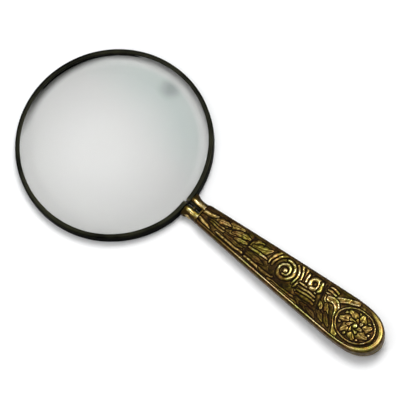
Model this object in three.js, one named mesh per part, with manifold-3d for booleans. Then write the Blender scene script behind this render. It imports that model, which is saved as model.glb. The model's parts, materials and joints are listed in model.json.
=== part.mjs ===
// Hand magnifying glass: a large lens in a split channel band, closed by lugs and a cross screw
// in the slotted brass mouth of a hollow, stamped handle that is filled round a steel tang.
//
// Millimetres, +Z up. The pieces are built in the glass's own frame: origin at the centre of the
// band, lens plane at z = 0, handle along +X. The last section lays that frame on the ground.

import * as THREE from "three";
import { mergeVertices } from "three/addons/utils/BufferGeometryUtils.js";
import Module from "manifold-3d";

const wasm = await Module();
wasm.setup();

// ---------------------------------------------------------------- driving dimensions

const BAND_RADIUS = 50; // outside of the band
const BAND_HEIGHT = 6;
const BAND_SHEET = 0.8; // metal thickness of the channel
const LIP_WIDTH = 2.4; // how far the band reaches in over the glass
const BAND_CORNER = 0.7; // rounding of the band's outer corners
const BAND_SPLIT = 1.2; // gap between the band's ends

const LENS_RADIUS = 48.2;
const LENS_EDGE = 2.4; // thickness at the rim
const LENS_FRONT_RADIUS = 300; // strongly curved upper face
const LENS_BACK_RADIUS = 583; // flatter lower face, which clears the table

const GAP = 0.25; // between neighbouring pieces

const SCREW_X = 53.2; // closing screw, across the handle
const SCREW_RADIUS = 1.1;
const SCREW_HEAD_RADIUS = 1.9;
const SCREW_HEAD_HEIGHT = 1.1;
const SCREW_HEAD_SEAT = -4.6; // y of the counterbore's floor, on the -Y cheek
const SCREW_END = 3.6; // y of the screw's far end
const DRIVER_SLOT = 0.5; // width and depth
const RUNNING_CLEARANCE = 0.12;

const LUG_THICKNESS = 0.9;
const LUG_LENGTH = 7.2;
const LUG_HALF_HEIGHT = 2.5;
const LUG_ROUND = 1.2; // rounding of the lug's free corners

const MOUTH_HALF_WIDTH = 6.7; // flare of the ferrule where it meets the band
const MOUTH_HALF_HEIGHT = 4.15;
const SPIGOT_HALF_HEIGHT = 2.75; // the ferrule's tongue inside the shells

const HANDLE_START = 58.8; // where the shells meet the ferrule
const HANDLE_BEND = 1.65; // degrees towards +Y, at the neck; old handles are seldom quite straight
const HANDLE_END = 174;
const ROUND_START = 150; // where the taper turns into the rounded end
const NECK_HALF_WIDTH = 5.8;
const END_HALF_WIDTH = 12.4;
const NECK_HALF_THICKNESS = 4.1;
const END_HALF_THICKNESS = 6;
const END_ROUNDNESS = 3.3; // exponent of the rounded end
const SHELL_WALL = 1;
const SEAM_GAP = 0.1; // each shell's distance from the seam plane
const SHOULDER_WIDTH = 2;

const MEDALLION_X = 158.3;
const MEDALLION_HALF_LENGTH = 11.2;
const MEDALLION_HALF_WIDTH = 9.2;
const MEDALLION_RISE = 0.5; // above the handle's crown

const TANG_RADIUS = 1.8;
const TANG_START = 60.2;
const TANG_END = 132;
const TANG_TAPER = 8; // length of its tapered end
const SPIGOT_END = 65; // end of the ferrule inside the shells

const BAND_SEGMENTS = 80;
const BORE_SEGMENTS = 20;
const THROUGH = 20; // reach of a cutting tool that goes right through a piece

// ---------------------------------------------------------------- derived dimensions

const bandInner = BAND_RADIUS - LIP_WIDTH;
const channelRadius = BAND_RADIUS - BAND_SHEET;
const channelHalf = BAND_HEIGHT / 2 - BAND_SHEET;
const lugOuterY = BAND_SPLIT / 2 + LUG_THICKNESS;
const slotHalf = lugOuterY + GAP;
const slotEnd = BAND_RADIUS + LUG_LENGTH + 3 * GAP;

// ---------------------------------------------------------------- helpers

function sphereSag(radius, r) {
  return radius - Math.sqrt(radius * radius - r * r);
}

/** A BufferGeometry from rows of points and index triples, with shared vertices merged. */
function geometryFrom(points, triangles) {
  const geometry = new THREE.BufferGeometry();
  geometry.setAttribute("position", new THREE.Float32BufferAttribute(points.flat(), 3));
  geometry.setIndex(triangles.flat());
  return weld(geometry);
}

/** Position only, shared vertices merged, triangles that have collapsed left out. */
function weld(geometry) {
  const bare = new THREE.BufferGeometry();
  bare.setAttribute("position", geometry.getAttribute("position"));
  bare.setIndex(geometry.index);
  const merged = mergeVertices(bare, 1e-4);
  const index = merged.index.array;
  const kept = [];
  for (let i = 0; i < index.length; i += 3) {
    const [a, b, c] = [index[i], index[i + 1], index[i + 2]];
    if (a !== b && b !== c && c !== a) kept.push(a, b, c);
  }
  merged.setIndex(kept);
  return merged;
}

function toSolid(geometry) {
  const welded = weld(geometry);
  return new wasm.Manifold(
    new wasm.Mesh({
      numProp: 3,
      vertProperties: new Float32Array(welded.getAttribute("position").array),
      triVerts: new Uint32Array(welded.index.array),
    }),
  );
}

function toGeometry(solid) {
  const mesh = solid.getMesh();
  const geometry = new THREE.BufferGeometry();
  geometry.setAttribute("position", new THREE.BufferAttribute(mesh.vertProperties, 3));
  geometry.setIndex(new THREE.BufferAttribute(mesh.triVerts, 1));
  return geometry;
}

/** The first geometry with the others cut away from it. */
function cut(body, ...tools) {
  return toGeometry(tools.reduce((left, tool) => left.subtract(toSolid(tool)), toSolid(body)));
}

/** A turned piece about Z from a list of [radius, z] points, listed from the bottom up outside. */
function turned(profile, segments) {
  const points = profile.map(([r, z]) => new THREE.Vector2(r, z));
  return weld(new THREE.LatheGeometry(points, segments).rotateX(Math.PI / 2));
}

/** Points on a quarter circle or any other arc, as [a, b] pairs. */
function arc(centreA, centreB, radius, fromDegrees, toDegrees, steps) {
  return Array.from({ length: steps + 1 }, (_, i) => {
    const angle = THREE.MathUtils.degToRad(THREE.MathUtils.lerp(fromDegrees, toDegrees, i / steps));
    return [centreA + radius * Math.cos(angle), centreB + radius * Math.sin(angle)];
  });
}

function cylinderAlongX(radius, x0, x1) {
  const geometry = new THREE.CylinderGeometry(radius, radius, x1 - x0, BORE_SEGMENTS);
  return geometry.rotateZ(-Math.PI / 2).translate((x0 + x1) / 2, 0, 0);
}

/** A cylinder on the closing screw's axis. */
function cylinderAlongY(radius, y0, y1) {
  const geometry = new THREE.CylinderGeometry(radius, radius, y1 - y0, BORE_SEGMENTS);
  return geometry.translate(SCREW_X, (y0 + y1) / 2, 0);
}

/** A solid through a row of rounded sections, each {x, halfWidth, halfHeight}, closed at its ends. */
function lofted(sections, roundness, sides) {
  const points = [];
  for (const { x, halfWidth, halfHeight } of sections) {
    for (let i = 0; i < sides; i++) {
      const angle = (2 * Math.PI * i) / sides;
      const [c, s] = [Math.cos(angle), Math.sin(angle)];
      const y = halfWidth * Math.sign(c) * Math.abs(c) ** (2 / roundness);
      const z = halfHeight * Math.sign(s) * Math.abs(s) ** (2 / roundness);
      points.push([x, y, z]);
    }
  }
  const triangles = [];
  for (let ring = 0; ring + 1 < sections.length; ring++) {
    for (let i = 0; i < sides; i++) {
      const a = ring * sides + i;
      const b = ring * sides + ((i + 1) % sides);
      triangles.push([a, b, a + sides], [b, b + sides, a + sides]);
    }
  }
  const lastRing = (sections.length - 1) * sides;
  for (let i = 1; i + 1 < sides; i++) {
    triangles.push([0, i + 1, i], [lastRing, lastRing + i, lastRing + i + 1]);
  }
  return geometryFrom(points, triangles);
}

// ---------------------------------------------------------------- the handle's form

/** Half the handle's width at x: a light taper, then the rounded end. */
function halfWidth(x) {
  const along = (x - HANDLE_START) / (ROUND_START - HANDLE_START);
  const taper = THREE.MathUtils.lerp(NECK_HALF_WIDTH, END_HALF_WIDTH, Math.min(along, 1));
  const bulge = 0.25 * Math.sin(Math.PI * THREE.MathUtils.clamp(along, 0, 1));
  const past = THREE.MathUtils.clamp((x - ROUND_START) / (HANDLE_END - ROUND_START), 0, 1);
  return (taper + bulge) * Math.sqrt(1 - past ** END_ROUNDNESS);
}

function halfThickness(x) {
  const along = THREE.MathUtils.clamp((x - HANDLE_START) / (ROUND_START - HANDLE_START), 0, 1);
  return THREE.MathUtils.lerp(NECK_HALF_THICKNESS, END_HALF_THICKNESS, along);
}

/** Stations on the +Y outline from startX to the tip, each with its foot on the handle's spine. */
function outlineStations(startX, taperSteps, endSteps) {
  const xs = [];
  for (let i = 0; i < taperSteps; i++) {
    xs.push(THREE.MathUtils.lerp(startX, ROUND_START, i / taperSteps));
  }
  for (let i = 0; i <= endSteps; i++) {
    const angle = (Math.PI / 2) * (i / endSteps);
    xs.push(ROUND_START + (HANDLE_END - ROUND_START) * Math.sin(angle));
  }
  const spineShare = 0.55; // how far the spine follows the outline into the rounded end
  return xs.map((x) => ({
    x,
    y: withoutRounding(halfWidth(x)),
    spineX: x > ROUND_START ? ROUND_START + spineShare * (x - ROUND_START) : x,
  }));
}

/** Exactly zero for the rounding error that the outline leaves at the tip. */
function withoutRounding(value) {
  return value < 1e-6 ? 0 : value;
}

/** Height of the shell's upper face at a distance from the outline, spine at spineDistance. */
function crownHeight(x, distance, spineDistance) {
  const thickness = halfThickness(x);
  const wallTop = 0.62 * thickness;
  const shoulderTop = 0.9 * thickness;
  if (distance < SHOULDER_WIDTH) {
    const left = 1 - distance / SHOULDER_WIDTH;
    return wallTop + (shoulderTop - wallTop) * Math.sqrt(1 - left * left);
  }
  const left = 1 - (distance - SHOULDER_WIDTH) / Math.max(spineDistance - SHOULDER_WIDTH, 1e-3);
  return shoulderTop + (thickness - shoulderTop) * (1 - left * left);
}

/**
 * A solid over the handle's plan: upper face from topAt and lower face from bottomAt, both of
 * (x, distance, spineDistance), its side inset from the outline, ring by ring to the spine.
 */
function planSolid({ startX, inset, ringDistances, fieldRings, topAt, bottomAt }) {
  const half = outlineStations(startX, 14, 9);
  const mirrored = half.slice(0, -1).reverse();
  const stations = [...half, ...mirrored.map((s) => ({ ...s, y: -s.y }))];
  const rings = ringDistances.length + fieldRings;
  const top = [];
  const bottom = [];
  for (const { x, y, spineX } of stations) {
    const spineDistance = Math.hypot(x - spineX, y);
    const lastEdge = ringDistances.at(-1);
    for (let ring = 0; ring < rings; ring++) {
      const fieldShare = (ring - ringDistances.length + 1) / fieldRings;
      const fieldDistance = THREE.MathUtils.lerp(lastEdge, spineDistance, Math.max(fieldShare, 0));
      const wanted = ring < ringDistances.length ? ringDistances[ring] + inset : fieldDistance;
      const distance = Math.min(wanted, spineDistance);
      const share = distance / spineDistance;
      const pointX = THREE.MathUtils.lerp(x, spineX, share);
      const pointY = ring === rings - 1 ? 0 : THREE.MathUtils.lerp(y, 0, share);
      top.push([pointX, pointY, topAt(pointX, distance, spineDistance)]);
      bottom.push([pointX, pointY, bottomAt(pointX, distance, spineDistance)]);
    }
  }
  const count = stations.length;
  const below = count * rings;
  const at = (station, ring) => station * rings + ring;
  const triangles = [];
  const quad = (a, b, c, d) => triangles.push([a, b, c], [a, c, d]);
  for (let s = 0; s + 1 < count; s++) {
    quad(at(s, 0), below + at(s, 0), below + at(s + 1, 0), at(s + 1, 0));
    for (let r = 0; r + 1 < rings; r++) {
      quad(at(s, r), at(s + 1, r), at(s + 1, r + 1), at(s, r + 1));
      quad(below + at(s, r), below + at(s, r + 1), below + at(s + 1, r + 1), below + at(s + 1, r));
    }
  }
  for (let r = 0; r + 1 < rings; r++) {
    const last = count - 1;
    quad(at(0, r), at(0, r + 1), below + at(0, r + 1), below + at(0, r));
    quad(at(last, r + 1), at(last, r), below + at(last, r), below + at(last, r + 1));
  }
  return facingOut(geometryFrom([...top, ...bottom], triangles));
}

/** Flips every triangle when the geometry encloses a negative volume. */
function facingOut(geometry) {
  const position = geometry.getAttribute("position");
  const index = Array.from(geometry.index.array);
  const [a, b, c] = [new THREE.Vector3(), new THREE.Vector3(), new THREE.Vector3()];
  let volume = 0;
  for (let i = 0; i < index.length; i += 3) {
    a.fromBufferAttribute(position, index[i]);
    b.fromBufferAttribute(position, index[i + 1]);
    c.fromBufferAttribute(position, index[i + 2]);
    volume += a.dot(b.cross(c));
  }
  if (volume < 0) {
    for (let i = 0; i < index.length; i += 3) {
      [index[i + 1], index[i + 2]] = [index[i + 2], index[i + 1]];
    }
    geometry.setIndex(index);
  }
  return geometry;
}

// ---------------------------------------------------------------- glass and band

function lensGeometry() {
  const steps = 7;
  const edge = LENS_EDGE / 2;
  const bottomCentre = -edge - sphereSag(LENS_BACK_RADIUS, LENS_RADIUS);
  const topCentre = edge + sphereSag(LENS_FRONT_RADIUS, LENS_RADIUS);
  const profile = [];
  for (let i = 0; i <= steps; i++) {
    const r = (LENS_RADIUS * i) / steps;
    profile.push([r, bottomCentre + sphereSag(LENS_BACK_RADIUS, r)]);
  }
  for (let i = steps; i >= 0; i--) {
    const r = (LENS_RADIUS * i) / steps;
    profile.push([r, topCentre - sphereSag(LENS_FRONT_RADIUS, r)]);
  }
  return facingOut(turned(profile, BAND_SEGMENTS));
}

/** Packing of channel section, closed on itself, between the glass edge and the band. */
function gasketGeometry() {
  const outer = channelRadius - GAP;
  const web = LENS_RADIUS + GAP;
  const inner = bandInner + GAP;
  const low = LENS_EDGE / 2 + GAP;
  const high = channelHalf - GAP;
  const profile = [
    [inner, -high],
    [outer, -high],
    [outer, high],
    [inner, high],
    [inner, low],
    [web, low],
    [web, -low],
    [inner, -low],
    [inner, -high],
  ];
  return facingOut(turned(profile, BAND_SEGMENTS));
}

function bandGeometry() {
  const half = BAND_HEIGHT / 2;
  const cornerR = BAND_RADIUS - BAND_CORNER;
  const cornerZ = half - BAND_CORNER;
  const lipRound = 0.25;
  const profile = [
    [bandInner + lipRound, -half],
    ...arc(cornerR, -cornerZ, BAND_CORNER, -90, 0, 3),
    ...arc(cornerR, cornerZ, BAND_CORNER, 0, 90, 3),
    [bandInner + lipRound, half],
    [bandInner, half - lipRound],
    [bandInner, channelHalf],
    [channelRadius, channelHalf],
    [channelRadius, -channelHalf],
    [bandInner, -channelHalf],
    [bandInner, -half + lipRound],
    [bandInner + lipRound, -half],
  ];
  const ring = facingOut(turned(profile, BAND_SEGMENTS));
  const split = new THREE.BoxGeometry(2 * LIP_WIDTH + 2, BAND_SPLIT, 2 * BAND_HEIGHT);
  split.translate(BAND_RADIUS, 0, 0);
  return cut(ring, split);
}

/** One closing lug: a plate across Y from the band's end into the ferrule, with the screw's hole. */
function lugGeometry(holeRadius) {
  const start = BAND_RADIUS + GAP;
  const end = BAND_RADIUS + LUG_LENGTH;
  const roundX = end - LUG_ROUND;
  const roundY = LUG_HALF_HEIGHT - LUG_ROUND;
  const outline = new THREE.Shape();
  outline.moveTo(start, -LUG_HALF_HEIGHT);
  outline.lineTo(roundX, -LUG_HALF_HEIGHT);
  outline.absarc(roundX, -roundY, LUG_ROUND, -Math.PI / 2, 0);
  outline.absarc(roundX, roundY, LUG_ROUND, 0, Math.PI / 2);
  outline.lineTo(start, LUG_HALF_HEIGHT);
  const hole = new THREE.Path();
  hole.absarc(SCREW_X, 0, holeRadius, 0, 2 * Math.PI, true);
  outline.holes.push(hole);
  const plate = new THREE.ExtrudeGeometry(outline, {
    depth: LUG_THICKNESS,
    bevelEnabled: false,
    curveSegments: 10,
  });
  return weld(plate.rotateX(Math.PI / 2).translate(0, LUG_THICKNESS / 2, 0));
}

// ---------------------------------------------------------------- ferrule, screw and tang

function ferruleGeometry() {
  const mouth = BAND_RADIUS - 1; // the cheeks are trimmed to the band from here
  const bodyEnd = HANDLE_START - GAP;
  const waist = { halfWidth: MOUTH_HALF_WIDTH - 1.3, halfHeight: MOUTH_HALF_HEIGHT - 0.35 };
  const body = lofted(
    [
      { x: mouth, halfWidth: MOUTH_HALF_WIDTH, halfHeight: MOUTH_HALF_HEIGHT },
      { x: mouth + 2, halfWidth: MOUTH_HALF_WIDTH - 0.1, halfHeight: MOUTH_HALF_HEIGHT + 0.1 },
      { x: mouth + 3.4, halfWidth: MOUTH_HALF_WIDTH - 0.75, halfHeight: MOUTH_HALF_HEIGHT - 0.05 },
      { x: mouth + 5, halfWidth: waist.halfWidth + 0.05, halfHeight: waist.halfHeight + 0.05 },
      { x: mouth + 7.2, ...waist },
      { x: bodyEnd, halfWidth: NECK_HALF_WIDTH - 0.15, halfHeight: NECK_HALF_THICKNESS - 0.15 },
      { x: bodyEnd + 0.01, halfWidth: waist.halfWidth - 1, halfHeight: SPIGOT_HALF_HEIGHT },
      { x: SPIGOT_END, halfWidth: waist.halfWidth - 1, halfHeight: SPIGOT_HALF_HEIGHT },
    ],
    3, // squareness of the sections: 2 would be ellipses
    36,
  );
  const clearRadius = BAND_RADIUS + GAP;
  const bandClearance = new THREE.CylinderGeometry(
    clearRadius,
    clearRadius,
    THROUGH,
    2 * BAND_SEGMENTS,
  ).rotateX(Math.PI / 2);
  const slotStart = BAND_RADIUS - 3;
  const slot = new THREE.BoxGeometry(slotEnd - slotStart, 2 * slotHalf, THROUGH);
  slot.translate((slotStart + slotEnd) / 2, 0, 0);
  const holeEnd = SCREW_END + GAP + BAND_SHEET / 2; // blind, in the +Y cheek
  const screwHole = cylinderAlongY(SCREW_RADIUS + RUNNING_CLEARANCE, -THROUGH, holeEnd);
  const headRecess = cylinderAlongY(SCREW_HEAD_RADIUS + GAP, -THROUGH, SCREW_HEAD_SEAT);
  const tangBore = cylinderAlongX(TANG_RADIUS + GAP, TANG_START - 2 * GAP, SPIGOT_END + 5);
  return cut(body, bandClearance, slot, screwHole, headRecess, tangBore);
}

/** Slotted cheese-head screw, its axis along Y, head towards -Y. */
function screwGeometry() {
  const seat = SCREW_HEAD_SEAT - RUNNING_CLEARANCE;
  const top = seat - SCREW_HEAD_HEIGHT;
  const edge = 0.3; // chamfer
  const profile = [
    [0, top],
    [SCREW_HEAD_RADIUS - edge, top],
    [SCREW_HEAD_RADIUS, top + edge],
    [SCREW_HEAD_RADIUS, seat],
    [SCREW_RADIUS, seat],
    [SCREW_RADIUS, SCREW_END - edge],
    [SCREW_RADIUS - edge, SCREW_END],
    [0, SCREW_END],
  ];
  const points = profile.map(([r, y]) => new THREE.Vector2(r, y));
  const blank = facingOut(weld(new THREE.LatheGeometry(points, 24)));
  const slot = new THREE.BoxGeometry(3 * SCREW_HEAD_RADIUS, 2 * DRIVER_SLOT, DRIVER_SLOT);
  slot.translate(0, top, 0);
  return cut(blank, slot);
}

/** Steel rod with a tapered end, its axis along X. */
function tangGeometry() {
  const length = TANG_END - TANG_START;
  const profile = [
    [0, 0],
    [TANG_RADIUS, 0],
    [TANG_RADIUS, length - TANG_TAPER],
    [TANG_RADIUS / 2, length],
    [0, length],
  ];
  const points = profile.map(([r, y]) => new THREE.Vector2(r, y));
  return facingOut(weld(new THREE.LatheGeometry(points, BORE_SEGMENTS).rotateZ(-Math.PI / 2)));
}

// ---------------------------------------------------------------- handle

/** The front shell: a stamped skin with a raised oval medallion, open at the seam and the neck. */
function shellGeometry() {
  const outer = planSolid({
    startX: HANDLE_START,
    inset: 0,
    ringDistances: [0, 0.35, 1, SHOULDER_WIDTH],
    fieldRings: 3,
    topAt: crownHeight,
    bottomAt: () => SEAM_GAP,
  });
  const inner = planSolid({
    startX: HANDLE_START - 2,
    inset: SHELL_WALL,
    ringDistances: [0, 1],
    fieldRings: 2,
    topAt: (x, distance, spineDistance) => crownHeight(x, distance, spineDistance) - SHELL_WALL,
    bottomAt: () => -1,
  });
  const shell = toSolid(outer).add(toSolid(medallionGeometry())).subtract(toSolid(inner));
  return toGeometry(shell);
}

/** The medallion's boss, oval in plan with a low domed face. */
function medallionGeometry() {
  const top = END_HALF_THICKNESS + MEDALLION_RISE;
  const root = END_HALF_THICKNESS - SHELL_WALL;
  const profile = [
    [0, root],
    [1, root],
    [1, top - 0.8],
    [0.92, top - 0.3],
    [0.5, top - 0.08],
    [0, top],
  ];
  const boss = turned(profile, 40);
  boss.scale(MEDALLION_HALF_LENGTH, MEDALLION_HALF_WIDTH, 1).translate(MEDALLION_X, 0, 0);
  return facingOut(boss);
}

/** The same shell turned over, for the back. */
function backShellGeometry() {
  return facingOut(shellGeometry().scale(1, 1, -1));
}

/** Cement filling between the shells, bored for the tang and open at the neck end. */
function coreGeometry() {
  const clearance = SHELL_WALL + GAP;
  const faceAt = (x, distance, spineDistance) =>
    crownHeight(x, distance, spineDistance) - clearance;
  const filling = planSolid({
    startX: SPIGOT_END + GAP,
    inset: clearance,
    ringDistances: [0, 1],
    fieldRings: 2,
    topAt: faceAt,
    bottomAt: (x, distance, spineDistance) => -faceAt(x, distance, spineDistance),
  });
  return cut(filling, cylinderAlongX(TANG_RADIUS + GAP, SPIGOT_END - 5, TANG_END + GAP));
}

// ---------------------------------------------------------------- materials

const glassLook = new THREE.MeshStandardMaterial({
  color: 0xdfe4e2,
  roughness: 0.03,
  metalness: 0,
  transparent: true,
  opacity: 0.3,
});
const blackenedBrass = { color: 0x23241c, roughness: 0.38, metalness: 0.85 };
const antiqueBrass = { color: 0x8a6a2e, roughness: 0.36, metalness: 1 };
const steel = { color: 0x6f7175, roughness: 0.4, metalness: 1 };
const packing = { color: 0x2b2925, roughness: 0.9, metalness: 0 };
const cement = { color: 0x4a4038, roughness: 0.95, metalness: 0 };

// ---------------------------------------------------------------- scene graph

const glass = new THREE.Group();

/** The handle's own group: it turns about the neck, where it is bent. */
const handle = new THREE.Group();
handle.position.x = HANDLE_START;
handle.rotation.z = THREE.MathUtils.degToRad(HANDLE_BEND);
glass.add(handle);

function addPiece(name, geometry, look, group = glass) {
  const material = look.isMaterial ? look : new THREE.MeshStandardMaterial(look);
  const mesh = new THREE.Mesh(geometry, material);
  mesh.name = name;
  group.add(mesh);
  return mesh;
}

function addHandlePiece(name, geometry, look) {
  return addPiece(name, geometry.translate(-HANDLE_START, 0, 0), look, handle);
}

addPiece("lens", lensGeometry(), glassLook);
addPiece("lens_gasket", gasketGeometry(), packing);
addPiece("rim_band", bandGeometry(), blackenedBrass);

const lugCentreY = (BAND_SPLIT + LUG_THICKNESS) / 2;
const upperLug = addPiece("rim_lug_upper", lugGeometry(SCREW_RADIUS + RUNNING_CLEARANCE), blackenedBrass);
upperLug.position.y = lugCentreY;
const lowerLug = addPiece("rim_lug_lower", lugGeometry(SCREW_RADIUS + GAP), blackenedBrass);
lowerLug.position.y = -lugCentreY;

addPiece("neck_ferrule", ferruleGeometry(), antiqueBrass);
const screw = addPiece("closing_screw", screwGeometry(), antiqueBrass);
screw.position.x = SCREW_X;

addHandlePiece("tang", tangGeometry().translate(TANG_START, 0, 0), steel);
addHandlePiece("handle_front", shellGeometry(), antiqueBrass);
addHandlePiece("handle_back", backShellGeometry(), antiqueBrass);
addHandlePiece("handle_core", coreGeometry(), cement);

// At rest the glass stands on the far edge of the band and on the back medallion, so the
// handle's end is raised. The origin is then under the middle of the whole object.
const backMedallion = END_HALF_THICKNESS + MEDALLION_RISE;
const bend = THREE.MathUtils.degToRad(HANDLE_BEND);
const medallionX = HANDLE_START + (MEDALLION_X - HANDLE_START) * Math.cos(bend);
const standLength = medallionX + BAND_RADIUS - BAND_CORNER;
glass.rotation.y = -Math.atan2(backMedallion - BAND_HEIGHT / 2, standLength);

const magnifyingGlass = new THREE.Group();
magnifyingGlass.add(glass);
magnifyingGlass.updateMatrixWorld(true);
const extent = new THREE.Box3().setFromObject(magnifyingGlass, true);
const middle = extent.getCenter(new THREE.Vector3());
glass.position.set(-middle.x, -middle.y, -extent.min.z);

export default magnifyingGlass;
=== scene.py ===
"""Looks of the hand magnifying glass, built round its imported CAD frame.

Shapes are made in the glass's own frame, in millimetres: origin at the centre of the band, lens
plane at z = 0, handle along +X. GLASS takes that frame to the row frame, in metres.
"""

import itertools
import json
import math

import bmesh
import bpy
import numpy as np
from mathutils import Matrix, Vector


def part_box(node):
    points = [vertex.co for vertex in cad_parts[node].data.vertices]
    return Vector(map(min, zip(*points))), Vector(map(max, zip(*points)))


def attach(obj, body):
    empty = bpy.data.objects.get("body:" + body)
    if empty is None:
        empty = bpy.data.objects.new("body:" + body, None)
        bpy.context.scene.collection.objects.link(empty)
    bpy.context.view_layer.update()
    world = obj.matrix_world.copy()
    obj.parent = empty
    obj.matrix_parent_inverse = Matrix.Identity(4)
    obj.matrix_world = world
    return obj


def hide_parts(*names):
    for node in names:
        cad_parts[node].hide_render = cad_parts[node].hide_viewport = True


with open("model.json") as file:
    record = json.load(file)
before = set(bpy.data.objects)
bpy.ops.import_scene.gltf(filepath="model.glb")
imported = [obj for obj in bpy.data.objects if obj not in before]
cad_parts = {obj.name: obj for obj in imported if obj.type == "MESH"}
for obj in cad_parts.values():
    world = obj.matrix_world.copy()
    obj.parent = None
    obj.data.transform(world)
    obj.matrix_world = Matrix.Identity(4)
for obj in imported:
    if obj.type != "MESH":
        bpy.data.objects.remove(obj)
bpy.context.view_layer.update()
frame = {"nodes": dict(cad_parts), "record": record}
scene = bpy.context.scene

# ---------------- the glass's own frame

MM = 0.001
rest_face = next(m for m in frame["record"]["mounts"] if m["name"] == "rest_face")
lean = math.asin(rest_face["axis"][0])  # the band's underside leans by this at rest
gasket_low, gasket_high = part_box("lens_gasket")
GLASS = (
    Matrix.Translation((gasket_low + gasket_high) / 2)
    @ Matrix.Rotation(-lean, 4, "Y")
    @ Matrix.Scale(MM, 4)
)


def own_points(node, place=GLASS):
    """A CAD node's points in the glass's own frame, or in another one."""
    piece = frame["nodes"][node]
    to_own = place.inverted() @ piece.matrix_world
    return np.array([to_own @ v.co for v in piece.data.vertices])


def own_box(node, place=GLASS):
    points = own_points(node, place)
    return Vector(points.min(0)), Vector(points.max(0))


def handle_frame():
    """The glass's frame turned about the neck, so that X lies along the bent handle's tang."""
    rod = own_points("tang")
    near = rod[rod[:, 0] < rod[:, 0].min() + 0.5].mean(0)
    far = rod[rod[:, 0] > rod[:, 0].max() - 0.5].mean(0)
    run = far - near
    bend = math.atan2(run[1], run[0])
    neck = Vector((near[0] - near[1] / math.tan(bend), 0, 0))
    return (
        GLASS
        @ Matrix.Translation(neck)
        @ Matrix.Rotation(bend, 4, "Z")
        @ Matrix.Translation(-neck)
    )


HANDLE = handle_frame()

_, band_high = own_box("rim_band")
lens_low, lens_high = own_box("lens")
shell_low, shell_high = own_box("handle_front", HANDLE)
_, ferrule_high = own_box("neck_ferrule")
screw_low, screw_high = own_box("closing_screw")
lug_low, lug_high = own_box("rim_lug_upper")

BAND_RADIUS = band_high.y
BAND_HALF = band_high.z
LIP_WIDTH = 2.4
BAND_SHEET = 0.8
SPLIT_HALF = lug_low.y  # half the gap between the band's ends

LENS_RADIUS = lens_high.y
LENS_EDGE_HALF = 1.2

HANDLE_START = shell_low.x
HANDLE_END = shell_high.x
ROUND_START = HANDLE_END - 24
NECK_HALF_WIDTH = 5.8
END_HALF_WIDTH = 12.4
NECK_HALF_THICKNESS = 4.1
MEDALLION_RISE = 0.5
END_HALF_THICKNESS = shell_high.z - MEDALLION_RISE
END_ROUNDNESS = 3.3
SHOULDER = 2.0  # width of the rounded shoulder inside the outline
WALL_SHARE = 0.62  # height of the upright side wall, as a share of the half thickness
SHOULDER_SHARE = 0.9  # height at the shoulder's inner edge, as a share of the same
SEAM = shell_low.z
SHELL_WALL = 1.0
BACK_DRAFT = 0.2  # slope of the back shell's side wall

MEDALLION_X = HANDLE_END - 15.7
MEDALLION_LENGTH = 11.2  # half
MEDALLION_WIDTH = 8.5  # half
RELIEF_DEPTH = 0.85
FORM_EDGE = 0.4  # height of a chased form at its edge, as a share of its crest's
MOAT_DEPTH = 0.85  # of the dark line chased round each form
MOAT_WIDTH = 0.34
GROUND = 0.32  # height of the plain ground between the forms

# ---------------- small helpers


def smooth_step(low, high, value):
    t = np.clip((value - low) / (high - low), 0, 1)
    return t * t * (3 - 2 * t)


def mix(a, b, t):
    return a + (b - a) * t


def ripple(x, y, size, seed):
    """Smooth uneven waves, about -1 to 1, of roughly the given size in millimetres."""
    chance = np.random.default_rng(seed)
    total = np.zeros(np.shape(x))
    waves = 10
    for _ in range(waves):
        heading, stretch, phase = chance.random(3)
        rate = 2 * np.pi / (size * (0.6 + 0.9 * stretch))
        along = x * np.cos(2 * np.pi * heading) + y * np.sin(2 * np.pi * heading)
        total += np.sin(rate * along + 2 * np.pi * phase)
    return total / np.sqrt(waves)


def circle(around):
    """Cosine and sine at equal steps round a circle."""
    for i in range(around):
        angle = 2 * math.pi * i / around
        yield math.cos(angle), math.sin(angle)


def make_piece(name, points, faces, place=GLASS):
    """A smooth mesh object from points in the glass's own frame, or in another one."""
    mesh = bpy.data.meshes.new(name)
    mesh.from_pydata([tuple(p) for p in points], [], faces)
    mesh.transform(place)
    mesh.validate()
    mesh.update()
    mesh.polygons.foreach_set("use_smooth", [True] * len(mesh.polygons))
    piece = bpy.data.objects.new(name, mesh)
    scene.collection.objects.link(piece)
    return piece


def grid_faces(rows, columns, closed=False):
    """Quads over rows x columns of points, numbered row by row; closed joins each row's ends."""
    faces = []
    for row in range(0, (rows - 1) * columns, columns):
        for c in range(columns if closed else columns - 1):
            c1 = (c + 1) % columns
            faces.append((row + c, row + columns + c, row + columns + c1, row + c1))
    return faces


def tube_faces(rows, columns):
    """A closed grid with a face over its first row and one over its last."""
    last = (rows - 1) * columns
    faces = grid_faces(rows, columns, closed=True)
    faces.append(tuple(range(columns)))
    faces.append(tuple(last + c for c in reversed(range(columns))))
    return faces


def face_out(piece):
    """Turns the faces of a closed piece outwards."""
    work = bmesh.new()
    work.from_mesh(piece.data)
    bmesh.ops.remove_doubles(work, verts=work.verts, dist=1e-6)
    bmesh.ops.recalc_face_normals(work, faces=work.faces)
    work.to_mesh(piece.data)
    work.free()
    piece.data.update()


def make_solid(name, points, faces):
    piece = make_piece(name, points, faces)
    face_out(piece)
    return piece


def apply_modifiers(piece):
    """The piece's mesh as its modifiers leave it, with none left on it."""
    graph = bpy.context.evaluated_depsgraph_get()
    mesh = bpy.data.meshes.new_from_object(piece.evaluated_get(graph))
    piece.modifiers.clear()
    piece.data = mesh


def cut_away(piece, cutter):
    change = piece.modifiers.new("cut", "BOOLEAN")
    change.operation = "DIFFERENCE"
    change.solver = "EXACT"
    change.object = cutter
    apply_modifiers(piece)
    bpy.data.objects.remove(cutter)


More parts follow.
